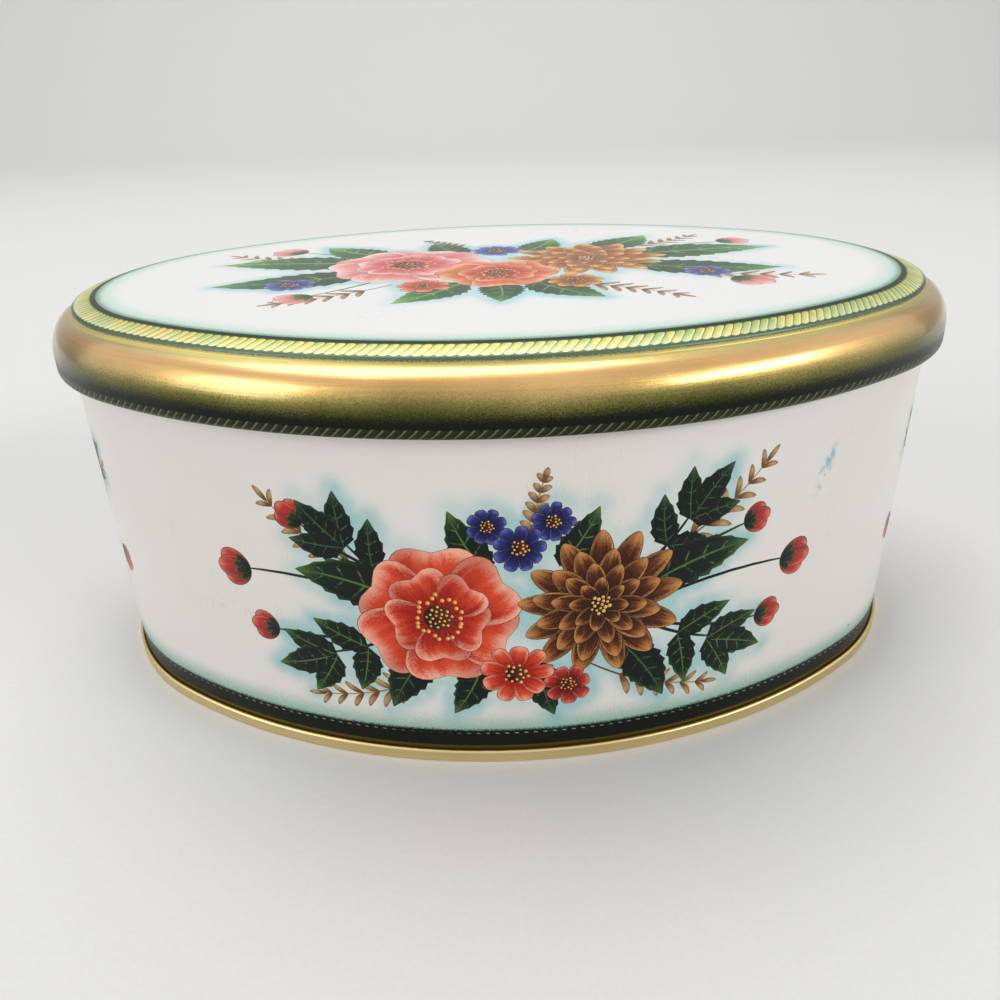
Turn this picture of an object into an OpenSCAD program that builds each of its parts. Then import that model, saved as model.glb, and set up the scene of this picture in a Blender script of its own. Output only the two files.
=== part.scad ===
// Oval tin box with a lift-off lid, as pressed and seamed from thin tinplate.
// Millimetres, +Z up, the tin stands on z = 0 with its long axis along X.
// Every sheet profile is drawn as a path of straight runs and bends, given the
// thickness of the sheet, and carried round a four-centre oval whose arcs meet
// on the 3-4-5 triangle, so all walls run parallel.

/* [Tin] */
// Outside length of the wall
body_length = 210; // [180:1:260]
// Outside width of the wall
body_width = 147; // [120:1:170]
// Height of the rolled top edge above the table
body_height = 89.2; // [60:0.1:140]
// Thickness of the tinplate
sheet = 0.3; // [0.24:0.01:0.36]

/* [Top edge of the wall] */
// Outside diameter of the inward roll
rim_roll = 2.4; // [2:0.1:3.2]
// Turn of the roll in degrees
rim_turn = 300; // [240:5:310]

/* [Side seam at the back] */
// Width of the folded strip
side_seam_width = 5; // [4:0.1:8]
// Layers folded to the inside of the wall
side_seam_layers = 3; // [2:1:3]
// Width of the joint line on the outside
joint_line = 0.4; // [0.3:0.05:0.8]
// Free height between the folded strip and the edges
side_seam_lap = 6; // [5.2:0.1:12]

/* [Double seam at the foot] */
// Height of the seam ring
seam_height = 3; // [2.8:0.1:4]
// Play between the layers of the seam
seam_play = 0.05; // [0.03:0.01:0.08]
// Bend radius at the foot of the ring
foot_bend = 0.4; // [0.34:0.02:0.48]

/* [Base] */
// Height of the panel border above the table
base_recess = 4; // [3.9:0.1:8]
// Width of the border inside the seam
base_border = 10; // [7:0.5:14]
// Rise of the middle of the panel
base_rise = 0.8; // [0.4:0.1:2]
// Bend radius between wall and border
base_bend = 0.8; // [0.5:0.1:1.5]
// Bend radius of the step in the panel
step_bend = 1.2; // [0.8:0.1:2]

/* [Lid] */
// Play between the lid's roll and the wall
lid_play = 0.5; // [0.3:0.05:1]
// Outside diameter of the roll at the lower edge
lid_roll = 2.8; // [2.2:0.1:3.4]
// Turn of the roll in degrees
lid_turn = 290; // [240:5:310]
// Height of the straight skirt above the roll
skirt_run = 3; // [2:0.1:8]
// Lean of the skirt in degrees
skirt_lean = 1.5; // [0:0.5:4]
// Lower bend radius of the round shoulder
shoulder_low = 10; // [8:0.5:12]
// Upper bend radius of the round shoulder
shoulder_high = 6.5; // [5:0.5:8]
// Lean at which the two shoulder bends meet, in degrees
shoulder_join = 30; // [25:1:40]
// Lean left at the top of the shoulder, in degrees
shoulder_end = 75; // [70:1:80]
// Height of the shoulder's top above the rolled edge of the wall
seat_rise = 1.2; // [1.1:0.05:2]

/* [Lid panel] */
// Height of the small riser round the panel
riser_run = 0.55; // [0.3:0.05:1.5]
// Lean of the riser in degrees
riser_lean = 8; // [2:1:20]
// Bend radius in the groove below the riser
groove_bend = 0.55; // [0.4:0.05:0.9]
// Bend radius over the riser
edge_bend = 0.7; // [0.5:0.05:1.2]
// Width of the sloping border of the panel
border_run = 4; // [3:0.1:7]
// Slope of the border in degrees
border_slope = 16; // [8:1:22]
// Bend radius between border and flat panel
panel_bend = 5; // [3:0.5:8]
// Flat of the panel carried round with the border
panel_lap = 4; // [3:0.5:6]

/* [Hidden] */
$fn = 96;
half_sheet = sheet / 2;
bend_step = 15;

// Four-centre oval on the 3-4-5 triangle
half_length = body_length / 2;
half_width = body_width / 2;
oval_unit = (half_length - half_width) / 2;
end_centre = 3 * oval_unit;
side_centre = 4 * oval_unit;
end_radius = half_length - end_centre;
side_radius = half_width + side_centre;
meet_angle = atan(4 / 3);
far = 2 * (body_length + side_centre);

// Layers of the seam, as distances of the sheet's middle from the wall face
layer = sheet + seam_play;
wall_mid = -half_sheet;
chuck_mid = wall_mid - layer;
cover_hook_mid = wall_mid + layer;
body_hook_mid = wall_mid + 2 * layer;
seam_mid = wall_mid + 3 * layer;
hook_bend = layer;
hook_low = sheet + seam_play + half_sheet + hook_bend;
hook_high = seam_height - half_sheet - hook_bend;
hook_end_play = 2 * seam_play;

// Base panel levels, as heights of the sheet's middle
border_mid = base_recess + half_sheet;
middle_mid = border_mid + base_rise;
step_angle = acos(1 - base_rise / (2 * step_bend));
step_reach = 2 * step_bend * sin(step_angle);
base_start = chuck_mid - base_bend - base_border - step_reach - panel_lap;

// Lid levels
rim_bend = (rim_roll - sheet) / 2;
roll_bend = (lid_roll - sheet) / 2;
seat_level = body_height + seat_rise - half_sheet;
skirt_heading = 90 + skirt_lean;
riser_heading = 90 + riser_lean;
slope_heading = 180 - border_slope;
shoulder_steps = [
  [skirt_run, 0, 0],
  [0, shoulder_low, shoulder_join - skirt_lean],
  [0, shoulder_high, shoulder_end - shoulder_join]
];
panel_steps = [
  [0, groove_bend, riser_heading - 90 - shoulder_end],
  [riser_run, 0, 0],
  [0, edge_bend, slope_heading - riser_heading],
  [border_run, 0, 0],
  [0, panel_bend, border_slope],
  [panel_lap, 0, 0]
];
roll_middle = lid_play + lid_roll / 2;
roll_exit = [roll_middle + roll_bend * sin(skirt_heading), -roll_bend * cos(skirt_heading), skirt_heading];
roll_level = seat_level - after(shoulder_steps, roll_exit)[1];
roll_heading = skirt_heading - lid_turn;
roll_start = [
  roll_middle + roll_bend * sin(roll_heading),
  roll_level - roll_bend * cos(roll_heading),
  roll_heading
];
lid_steps = concat([[0, roll_bend, lid_turn]], shoulder_steps, panel_steps);
panel_end = after(lid_steps, roll_start);

// A pose is [out from the wall face, height, heading]; a step is [run, bend radius, turn].
function moved(pose, step, part = 1) =
  step[2] == 0
    ? [pose[0] + part * step[0] * cos(pose[2]), pose[1] + part * step[0] * sin(pose[2]), pose[2]]
    : turned(pose, step[1] * sign(step[2]), pose[2] + part * step[2]);

function turned(pose, bend, heading) = [
  pose[0] + bend * (sin(heading) - sin(pose[2])),
  pose[1] - bend * (cos(heading) - cos(pose[2])),
  heading
];

function after(steps, pose, i = 0) = i == len(steps) ? pose : after(steps, moved(pose, steps[i]), i + 1);

function pieces(step) = max(1, ceil(abs(step[2]) / bend_step));

function trace(steps, pose, i = 0) =
  i == len(steps)
    ? []
    : concat(
        [for (k = [1 : pieces(steps[i])]) moved(pose, steps[i], k / pieces(steps[i]))],
        trace(steps, moved(pose, steps[i]), i + 1)
      );

function side_of(pose, shift) = [pose[0] - shift * sin(pose[2]), pose[1] + shift * cos(pose[2])];

// Cross-section of one bent sheet
module sheet_path(start, steps) {
  poses = concat([start], trace(steps, start));
  last = len(poses) - 1;
  polygon(concat(
    [for (p = poses) side_of(p, half_sheet)],
    [for (i = [0 : last]) side_of(poses[last - i], -half_sheet)]
  ));
}

// Plan outlines of the regions served by the end arc and by the side arc of one quarter
module end_wedge() {
  polygon([[end_centre, 0], [end_centre + far, 0], [end_centre + 0.6 * far, 0.8 * far]]);
}

module side_wedge() {
  polygon([[0, 0], [end_centre, 0], [end_centre + 0.6 * far, 0.8 * far], [0, 0.8 * far]]);
}

// Four mirrored quarters
module quarters() {
  children();
  mirror([1, 0, 0]) children();
  mirror([0, 1, 0]) children();
  mirror([1, 0, 0]) mirror([0, 1, 0]) children();
}

// Carries a cross-section round the oval
module around_oval(top) {
  quarters() {
    intersection() {
      translate([end_centre, 0, 0])
        rotate([0, 0, meet_angle])
          rotate_extrude() translate([end_radius, 0]) children();
      translate([0, 0, -sheet]) linear_extrude(top + 2 * sheet) end_wedge();
    }
    intersection() {
      translate([0, -side_centre, 0])
        rotate([0, 0, meet_angle])
          rotate_extrude() translate([side_radius, 0]) children();
      translate([0, 0, -sheet]) linear_extrude(top + 2 * sheet) side_wedge();
    }
  }
}

// Flat oval whose edge runs at a distance from the wall face
module oval_plate(out) {
  quarters() {
    intersection() {
      translate([end_centre, 0]) rotate(meet_angle) circle(end_radius + out);
      end_wedge();
    }
    intersection() {
      translate([0, -side_centre]) rotate(meet_angle) circle(side_radius + out);
      side_wedge();
    }
  }
}

// Strip that follows the back wall between two distances from its face
module back_strip(inner, outer, width, low, high) {
  translate([0, 0, low])
    linear_extrude(high - low)
      intersection() {
        translate([0, -side_centre])
          difference() {
            circle(side_radius + outer);
            circle(side_radius + inner);
          }
        translate([-width / 2, half_width - width]) square([width, 2 * width]);
      }
}

// Wall: one blank rolled to an oval, hooked at the foot, rolled inward at the top
module body_wall() {
  wall_run = body_height - rim_roll / 2 - hook_low;
  hook_top = hook_high - hook_end_play;
  seam_low = base_recess + base_rise + side_seam_lap / 2;
  seam_high = body_height - side_seam_lap;
  color([0.93, 0.92, 0.89])
    difference() {
      union() {
        around_oval(body_height)
          sheet_path(
            [body_hook_mid, hook_top, -90],
            [[hook_top - hook_low, 0, 0], [0, hook_bend, -180], [wall_run, 0, 0], [0, rim_bend, rim_turn]]
          );
        back_strip(-sheet * (1 + side_seam_layers), -half_sheet, side_seam_width, seam_low, seam_high);
      }
      back_strip(-half_sheet, sheet, joint_line, seam_low + sheet, seam_high - sheet);
    }
}

// Base: stepped oval panel whose edge is seamed round the foot of the wall
module base() {
  chuck_run = border_mid - base_bend - half_sheet - foot_bend;
  seam_run = hook_high - half_sheet - foot_bend;
  hook_run = hook_high - hook_low - hook_end_play;
  color([0.78, 0.62, 0.3]) {
    around_oval(body_height)
      sheet_path(
        [base_start, middle_mid, 0],
        [
          [panel_lap, 0, 0],
          [0, step_bend, -step_angle],
          [0, step_bend, step_angle],
          [base_border, 0, 0],
          [0, base_bend, -90],
          [chuck_run, 0, 0],
          [0, foot_bend, 90],
          [seam_mid - chuck_mid - 2 * foot_bend, 0, 0],
          [0, foot_bend, 90],
          [seam_run, 0, 0],
          [0, hook_bend, 180],
          [hook_run, 0, 0]
        ]
      );
    translate([0, 0, middle_mid - half_sheet])
      linear_extrude(sheet) oval_plate(base_start + panel_lap / 2);
  }
}

// Lid: drawn panel with a sloping border, round shoulder and rolled lower edge
module lid() {
  color([0.83, 0.68, 0.36]) {
    around_oval(panel_end[1] + sheet) sheet_path(roll_start, lid_steps);
    translate([0, 0, panel_end[1] - half_sheet])
      linear_extrude(sheet) oval_plate(panel_end[0] + panel_lap / 2);
  }
}

body_wall();
base();
lid();
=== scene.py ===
import bisect
import math
import random

import bpy
from mathutils import Matrix, Vector
from mathutils.geometry import delaunay_2d_cdt
from mathutils.kdtree import KDTree


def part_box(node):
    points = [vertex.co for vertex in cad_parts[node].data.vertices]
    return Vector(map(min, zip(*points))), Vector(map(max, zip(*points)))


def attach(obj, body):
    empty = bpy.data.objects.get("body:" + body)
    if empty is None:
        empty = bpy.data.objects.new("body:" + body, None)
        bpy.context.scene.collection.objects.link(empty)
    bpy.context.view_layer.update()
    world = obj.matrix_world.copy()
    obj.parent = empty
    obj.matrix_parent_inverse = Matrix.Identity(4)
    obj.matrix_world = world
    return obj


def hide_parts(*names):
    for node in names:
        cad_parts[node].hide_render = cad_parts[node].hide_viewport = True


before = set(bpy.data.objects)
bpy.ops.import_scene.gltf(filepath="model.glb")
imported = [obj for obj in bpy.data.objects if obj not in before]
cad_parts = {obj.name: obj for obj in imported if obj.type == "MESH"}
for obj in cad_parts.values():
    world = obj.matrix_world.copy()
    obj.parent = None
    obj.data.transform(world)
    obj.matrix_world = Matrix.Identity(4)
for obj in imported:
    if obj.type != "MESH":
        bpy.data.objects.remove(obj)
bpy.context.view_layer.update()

mm = 0.001

# Studio: a pale floor that sweeps up into a plain backdrop, lit by large soft lamps from above
# and from both sides. The camera stands close to the front of the tin and looks down on it, as
# in the photograph, with the same slight lean of the horizon.
floor_half = 1.6
floor_widen = 4
sweep_radius = 0.5
sweep_steps = 16


def edit(action="SELECT", kind="VERT"):
    """Opens the active mesh for editing, with all or none of it selected."""
    bpy.ops.object.mode_set(mode="EDIT")
    bpy.ops.mesh.select_mode(type=kind)
    bpy.ops.mesh.select_all(action=action)


def end_edit():
    bpy.ops.object.mode_set(mode="OBJECT")


def edit_chosen(piece, kind, chosen):
    """Opens the active piece for editing with only the chosen ones of its parts selected."""
    edit("DESELECT", kind)
    end_edit()
    parts = {"VERT": piece.data.vertices, "EDGE": piece.data.edges, "FACE": piece.data.polygons}
    for part in parts[kind]:
        part.select = chosen(part)
    bpy.ops.object.mode_set(mode="EDIT")


bpy.ops.object.select_all(action="DESELECT")
bpy.ops.mesh.primitive_plane_add(size=2 * floor_half, location=(0, 0, 0))
floor = bpy.context.object
floor.name = "studio_floor"
edit()
bpy.ops.transform.resize(value=(floor_widen, 1, 1))
edit_chosen(floor, "EDGE", lambda edge: all(floor.data.vertices[v].co.y > 0 for v in edge.vertices))
bpy.ops.mesh.spin(
    steps=sweep_steps, angle=math.radians(-90), center=(0, floor_half, sweep_radius), axis=(1, 0, 0)
)
bpy.ops.mesh.extrude_region_move(TRANSFORM_OT_translate={"value": (0, 0, floor_half)})
end_edit()
bpy.ops.object.shade_smooth()


def maths(operation, swapped=False):
    """A method of Ink that adds a Math node. Swapped inputs serve the reflected operators."""

    def add_node(ink, *others):
        values = (*others, ink) if swapped else (ink, *others)
        return ink.node("ShaderNodeMath", {"operation": operation}, dict(enumerate(values)))

    return add_node


class Ink:
    """A socket of a material's tree. Sums, differences and products of inks add Math nodes."""

    def __init__(self, tree, socket=None):
        self.tree = tree
        self.socket = socket

    def node(self, kind, settings=None, values=None, out=0):
        """A new node with its settings and the values or links of its sockets, as one output."""
        made = self.tree.nodes.new(kind)
        for key, value in (settings or {}).items():
            setattr(made, key, value)
        for key, value in (values or {}).items():
            if isinstance(value, Ink):
                self.tree.links.new(value.socket, made.inputs[key])
            else:
                made.inputs[key].default_value = value
        return Ink(self.tree, made.outputs[out])

    def part(self, out):
        """Another output of the same node."""
        return Ink(self.tree, self.socket.node.outputs[out])

    def place(self):
        """Where a point lies in the object, in metres."""
        return self.node("ShaderNodeTexCoord", out="Object")

    def noise(self, place, scale, detail):
        return self.node("ShaderNodeTexNoise", None, {"Vector": place, "Scale": scale, "Detail": detail})

    def bump(self, strength, depth):
        """A normal from this ink as a height."""
        return self.node("ShaderNodeBump", None, {"Strength": strength, "Distance": depth, "Height": self})

    def vector(self, x, y, z):
        return self.node("ShaderNodeCombineXYZ", None, {0: x, 1: y, 2: z})

    def axes(self):
        """The three parts of a vector."""
        first = self.node("ShaderNodeSeparateXYZ", None, {0: self})
        return first, first.part(1), first.part(2)

    def uv(self, name):
        """The two parts of a UV map."""
        return self.node("ShaderNodeUVMap", {"uv_map": name}).axes()[:2]

    def stored(self, name, out="Color"):
        """An attribute of the mesh."""
        return self.node("ShaderNodeAttribute", {"attribute_name": name}, out=out)

    sine = maths("SINE")
    power = maths("POWER")
    at_least = maths("MAXIMUM")
    at_most = maths("MINIMUM")
    fraction = maths("FRACT")
    size = maths("ABSOLUTE")
    __add__ = maths("ADD")
    __radd__ = maths("ADD", swapped=True)
    __sub__ = maths("SUBTRACT")
    __rsub__ = maths("SUBTRACT", swapped=True)
    __mul__ = maths("MULTIPLY")
    __rmul__ = maths("MULTIPLY", swapped=True)
    __truediv__ = maths("DIVIDE")


def printed(red, green, blue, light=1.0):
    """A colour as it looks on paper, 0 to 255, in the shader's linear light."""
    parts = [c / 255 for c in (red, green, blue)]
    return (*[light * (c / 12.92 if c <= 0.04045 else ((c + 0.055) / 1.055) ** 2.4) for c in parts], 1.0)


def rise(value, low, high):
    """0 below low, 1 above high, eased between."""
    return value.node(
        "ShaderNodeMapRange",
        {"interpolation_type": "SMOOTHSTEP"},
        {"Value": value, "From Min": low, "From Max": high},
    )


def band(value, low, high, soft):
    """1 between low and high, with soft edges."""
    return rise(value, low - soft, low + soft) * (1 - rise(value, high - soft, high + soft))


def over(mask, lower, upper):
    """The upper colour laid over the lower one where the mask is 1. Each is an ink or a printed colour."""
    lower, upper = [colour if isinstance(colour, Ink) else printed(*colour) for colour in (lower, upper)]
    return mask.node("ShaderNodeMix", {"data_type": "RGBA"}, {0: mask, 6: lower, 7: upper}, out=2)


def laid(colour, *layers):
    """A colour with others laid over it in turn, each a mask and its colour."""
    for mask, upper in layers:
        colour = over(mask, colour, upper)
    return colour


def new_material(name):
    """A bare material, its tree as an ink to build on, and its shader node."""
    material = bpy.data.materials.new(name)
    material.use_nodes = True
    shader = material.node_tree.nodes["Principled BSDF"]
    return material, Ink(material.node_tree), shader


def feed(shader, **channels):
    """Links inks to the shader's sockets, or sets plain values on them."""
    for name, value in channels.items():
        socket = shader.inputs[name.replace("_", " ").title().replace("Ior", "IOR")]
        if isinstance(value, Ink):
            value.tree.links.new(value.socket, socket)
        else:
            socket.default_value = value


floor_paper, sheet_of_paper, paper_shader = new_material("studio_paper")
paper_grain = sheet_of_paper.noise(sheet_of_paper.place(), 900.0, 4.0)
feed(paper_shader, base_color=over(paper_grain, (226, 225, 222), (234, 233, 231)), roughness=0.85)
floor.data.materials.append(floor_paper)

world = bpy.data.worlds.new("studio_room")
bpy.context.scene.world = world
world.use_nodes = True
rays = Ink(world.node_tree).node("ShaderNodeLightPath", out="Is Camera Ray")
room_seen = rays.at_least(rays.part("Is Glossy Ray")).at_least(rays.part("Is Transmission Ray"))
room_light = 0.42
room_colour = over(room_seen, (232, 234, 238, room_light), (236, 236, 236))
feed(world.node_tree.nodes["Background"], color=room_colour)


def soft_lamp(name, place, width, height, watts):
    """A soft box that faces the middle of the tin."""
    bpy.ops.object.light_add(type="AREA", location=place)
    lamp = bpy.context.object
    lamp.name = name
    lamp.data.shape = "RECTANGLE"
    lamp.data.size = width
    lamp.data.size_y = height
    lamp.data.energy = watts
    lamp.rotation_euler = (Vector(tin_middle) - Vector(place)).to_track_quat("-Z", "Y").to_euler()


tin_middle = (0, 0, 0.05)
soft_lamp("lamp_above", (-0.3, 0.6, 2.2), 2.0, 1.4, 27.0)
soft_lamp("lamp_right", (2.0, -1.3, 1.3), 1.6, 0.4, 22.0)
soft_lamp("lamp_left", (-2.1, -1.2, 1.1), 1.2, 1.4, 17.0)

camera_focus_px = 831
image_px = 1000
sensor_mm = 36
camera_place = Vector((-6.4, -212.7, 135.5)) * mm
camera_pitch = math.radians(26.92)
camera_roll = math.radians(-1.81)
camera_yaw = math.radians(-1.29)
bpy.ops.object.camera_add(location=camera_place)
camera = bpy.context.object
camera.name = "photo_camera"
camera.data.sensor_width = sensor_mm
camera.data.lens = camera_focus_px / image_px * sensor_mm
camera.data.clip_start = 0.01
camera.rotation_euler = (
    Matrix.Rotation(camera_yaw, 3, "Z")
    @ Matrix.Rotation(math.pi / 2 - camera_pitch, 3, "X")
    @ Matrix.Rotation(camera_roll, 3, "Z")
).to_euler()
bpy.context.scene.camera = camera
bpy.context.scene.view_settings.view_transform = "Standard"

# Wall: one printed tinplate blank, rolled to an oval tube and joined by a folded side seam at
# the back. Its top edge is rolled inward, and its foot is hooked into the base's double seam.
# The sheet's middle line is drawn as runs and bends, carried round the oval and thickened.
sheet = 0.3 * mm
seam_play = 0.05 * mm
seam_height = 3 * mm
rim_roll = 2.4 * mm
rim_turn = 300
bend_step = 7.5
arc_step = 2.0
smooth_angle = math.radians(40)
layer = sheet + seam_play
wall_mid = -sheet / 2
foot_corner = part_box("base")[1]
half_length = foot_corner[0] - 3 * layer
half_width = foot_corner[1] - 3 * layer
body_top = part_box("body_wall")[1][2]

# The oval is drawn from four centres on a 3-4-5 triangle. Half the way round it is kept in
# metres and in the print's millimetres.
oval_unit = (half_length - half_width) / 2
end_centre = 3 * oval_unit
side_centre = 4 * oval_unit
end_radius = half_length - end_centre
side_radius = half_width + side_centre
end_turn = math.atan2(4, 3)
side_turn = math.pi / 2 - end_turn
half_round = 2 * side_radius * side_turn + 2 * end_radius * end_turn
half_way = half_round / mm


def draw_section(name, start, heading, steps):
    """The middle line of a bent sheet at the tin's right end, each point with its run from the start.
    A step is [length of a run, bend radius, turn in degrees]."""
    bpy.ops.object.select_all(action="DESELECT")
    bpy.ops.mesh.primitive_plane_add(size=sheet, location=(0, 0, 0))
    piece = bpy.context.object
    piece.name = name
    piece.data.name = name
    piece.data.uv_layers[0].name = "OFBake"
    edit()
    bpy.ops.mesh.merge(type="CENTER")
    place = Vector((half_length + start[0], 0, start[1]))
    bpy.ops.transform.translate(value=place)
    aim = math.radians(heading)
    marks = [(place, 0.0)]
    for run, bend, turn in steps:
        if turn == 0:
            move = Vector((math.cos(aim), 0, math.sin(aim))) * run
            bpy.ops.mesh.extrude_region_move(TRANSFORM_OT_translate={"value": move})
            place = place + move
            marks.append((place, marks[-1][1] + run))
            continue
        count = max(2, round(abs(turn) / bend_step))
        radius = math.copysign(bend, turn)
        centre = place + Vector((-math.sin(aim), 0, math.cos(aim))) * radius
        bpy.ops.mesh.spin(steps=count, angle=math.radians(turn), center=centre, axis=(0, 1, 0))
        bend_run = bend * math.radians(abs(turn)) / count
        for k in range(1, count + 1):
            lean = aim + math.radians(turn) * (k / count)
            place = centre - Vector((-math.sin(lean), 0, math.cos(lean))) * radius
            marks.append((place, marks[-1][1] + bend_run))
        aim = lean
    end_edit()
    kept = piece.data.attributes.new("run", "FLOAT", "POINT").data
    for vertex in piece.data.vertices:
        kept[vertex.index].value = min(marks, key=lambda mark: (mark[0] - vertex.co).length)[1]
    return piece


def carry_round():
    """Sweeps the section just drawn round the four arcs of the oval and closes it."""
    edit()
    for x, y, turn in (
        (end_centre, 0, end_turn),
        (0, -side_centre, 2 * side_turn),
        (-end_centre, 0, 2 * end_turn),
        (0, side_centre, 2 * side_turn),
        (end_centre, 0, end_turn),
    ):
        count = 2 * round(math.degrees(turn) / arc_step / 2)
        bpy.ops.mesh.spin(steps=count, angle=-turn, center=(x, y, 0), axis=(0, 0, 1))
    bpy.ops.mesh.select_all(action="SELECT")
    bpy.ops.mesh.remove_doubles(threshold=sheet / 20)
    end_edit()


def close_panel(piece, run, lap):
    """Fills the sheet's inner loop, found by its run, with a flat panel and one inner ring."""

    def on_loop(vertex):
        return abs(piece.data.attributes["run"].data[vertex.index].value - run) < sheet / 10

    edit_chosen(piece, "VERT", on_loop)
    bpy.ops.mesh.edge_face_add()
    bpy.ops.mesh.inset(thickness=lap)
    end_edit()


def way_round(x, y):
    """Distance along the wall from the middle of the front, positive to the right."""
    ahead = abs(y)
    lean = math.atan2(abs(x), ahead + side_centre)
    if lean < side_turn:
        way = side_radius * lean
    else:
        way = side_radius * side_turn + end_radius * (end_turn - math.atan2(ahead, abs(x) - end_centre))
    return math.copysign(way if y < 0 else half_round - way, x)


def lay_print_map(piece, datum):
    """UV map in millimetres: along the wall from the front, and along the sheet from the datum."""
    mesh = piece.data
    runs = [kept.value for kept in mesh.attributes["run"].data]
    ways = [way_round(v.co.x, v.co.y) for v in mesh.vertices]
    print_map = mesh.uv_layers.new(name="print_map")
    for face in mesh.polygons:
        here = [ways[mesh.loops[i].vertex_index] for i in face.loop_indices]
        crosses = max(here) - min(here) > half_round
        for loop, way in zip(face.loop_indices, here):
            if crosses and way < 0:
                way += 2 * half_round
            run = runs[mesh.loops[loop].vertex_index]
            print_map.data[loop].uv = (way / mm, (run - datum) / mm)


def thicken(piece, outward, outside, inside):
    """Turns the printed side the way that outward measures, gives the sheet its thickness and
    smooths its bends. The inner side and the cut edge take the inside material."""
    piece.data.materials.append(outside)
    piece.data.materials.append(inside)
    bpy.ops.object.select_all(action="DESELECT")
    bpy.context.view_layer.objects.active = piece
    piece.select_set(True)
    edit()
    bpy.ops.mesh.normals_make_consistent(inside=False)
    end_edit()
    if sum(outward(face) * face.area for face in piece.data.polygons) < 0:
        edit()
        bpy.ops.mesh.flip_normals()
        end_edit()
    plate = piece.modifiers.new("tinplate", "SOLIDIFY")
    plate.thickness = sheet
    plate.offset = 0
    plate.material_offset = 1
    plate.material_offset_rim = 1
    bpy.ops.object.modifier_apply(modifier=plate.name)
    bpy.ops.object.shade_smooth_by_angle(angle=smooth_angle)


hook_bend = layer
hook_low = sheet + seam_play + sheet / 2 + hook_bend
hook_high = seam_height - sheet / 2 - hook_bend
hook_top = hook_high - 2 * seam_play
hook_run = hook_top - hook_low + math.pi * hook_bend
rim_bend = (rim_roll - sheet) / 2
wall_run = body_top - rim_roll / 2 - hook_low
wall = draw_section(
    "printed_wall",
    (wall_mid + 2 * layer, hook_top),
    -90,
    [[hook_top - hook_low, 0, 0], [0, hook_bend, -180], [wall_run, 0, 0], [0, rim_bend, rim_turn]],
)
carry_round()
lay_print_map(wall, hook_run - hook_low)


def flower_inks(tree, stipple):
    """Mask and colour of the flower print. A stroke runs from its near ink at the root to its far
    ink at the tip in fine streaks, with its edge and its veins in the edge ink."""
    near = tree.stored("ink_near")
    far = tree.stored("ink_far")
    edge = tree.stored("ink_edge")
    low, high, bow = tree.stored("ink_form", "Vector").axes()
    seed, streak, vein = tree.stored("ink_grain", "Vector").axes()
    along, across = tree.uv("stroke")
    reach = along.at_least(0.001).at_most(0.999)
    body = (reach.power(low) * (1 - reach).power(high)).at_least(0.02)
    side = (across - bow * reach * (1 - reach)) / body
    brush = tree.noise(tree.vector(reach * 1.4 + seed * 9.0, side * 4.2, seed * 5.0), 1.0, 4.0)
    rough = (brush - 0.5) * streak + (stipple - 0.5) * 0.35
    start = far.part("Alpha")
    lip = rise(side.size() * (0.6 + reach * 0.4) + rough * 0.9, 0.55, 1.0)
    lip = lip.at_least(rise(reach + rough * 0.45, 0.72, 1.0))
    rib = (1 - rise(side.size(), 0.0, 0.075)) * (1 - rise(reach, 0.7, 0.95))
    comb = (reach * 5.0 - side.size() * 0.8).fraction() - 0.5
    twig = (1 - rise(comb.size(), 0.02, 0.09)) * (1 - rise(side.size(), 0.45, 0.75)) * rise(brush, 0.4, 0.6)
    shade = rise(side + rough, -0.1, 0.9) * 0.45 * rise(streak, 0.05, 0.2)
    colour = laid(
        near,
        (rise(reach + rough, start, start + 0.55), far),
        (lip * edge.part("Alpha"), edge),
        (rib.at_least(twig) * vein, edge),
        (shade, near),
    )
    return near.part("Alpha"), colour


def halo(tree, stipple, cloud):
    """Mask of the soft airbrushed halo round the flowers, in cloudy patches."""
    glow = tree.stored("ink_glow", "Fac")
    return rise(glow + (stipple - 0.5) * 0.3 * glow, 0.0, 1.1) * (0.3 + rise(cloud, 0.3, 0.62) * 0.7)


wall_print, blank, wall_shader = new_material("printed_wall_ink")
wall_way, wall_height = blank.uv("print_map")
on_wall = blank.place()
age = blank.noise(on_wall, 22.0, 5.0)
stipple = blank.noise(on_wall, 2600.0, 1.0)
halo_cloud = blank.noise(on_wall, 75.0, 3.0)

# Bands at the foot, by their heights in millimetres
band_top = 8.5
glow_top = 14.5
dash_low = 7.45
dash_high = 7.72
dash_pitch = 2.1
olive_low = 2.6
olive_high = 4.0
foot_glow = 1 - rise(wall_height + (stipple - 0.5) * 3, band_top - 0.9, glow_top)
foot_green = 1 - rise(wall_height + (stipple - 0.5), band_top - 0.5, band_top + 0.5)
dash_turn = (wall_way / dash_pitch).fraction()
dash = band(dash_turn, 0.25, 0.62, 0.08) * band(wall_height + dash_turn * 0.3, dash_low, dash_high, 0.06)
olive_line = band(wall_height + (stipple - 0.5) * 0.4, olive_low, olive_high, 0.15)

# Wear: the joint's dark line, specks, fine upright scratches and a smudge, placed in millimetres
smudge_way = 68.5
smudge_level = 60
smudge_lean = 0.35
smudge_half_width = 2.2
smudge_half_height = 6.5
joint = 1 - rise((wall_way.size() - half_way).size(), 0.1, 0.25)
speck_cells = blank.node("ShaderNodeTexVoronoi", None, {"Vector": on_wall, "Scale": 95.0})
speck_choice = speck_cells.part("Color").axes()[0]
speck = (1 - rise(speck_cells, 0.02, 0.05)) * rise(speck_choice, 0.9, 0.92)
scratch_noise = blank.noise(blank.vector(wall_way * 0.9, wall_height * 0.06, 3.0), 1.0, 2.0)
scratch = (1 - rise((scratch_noise - 0.5).size(), 0.0, 0.004)) * rise(age, 0.56, 0.66) * (1 - foot_green)
above_smudge = wall_height - smudge_level
smudge_x = (wall_way - smudge_way - above_smudge * smudge_lean) / smudge_half_width
smudge_y = above_smudge / smudge_half_height
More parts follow.
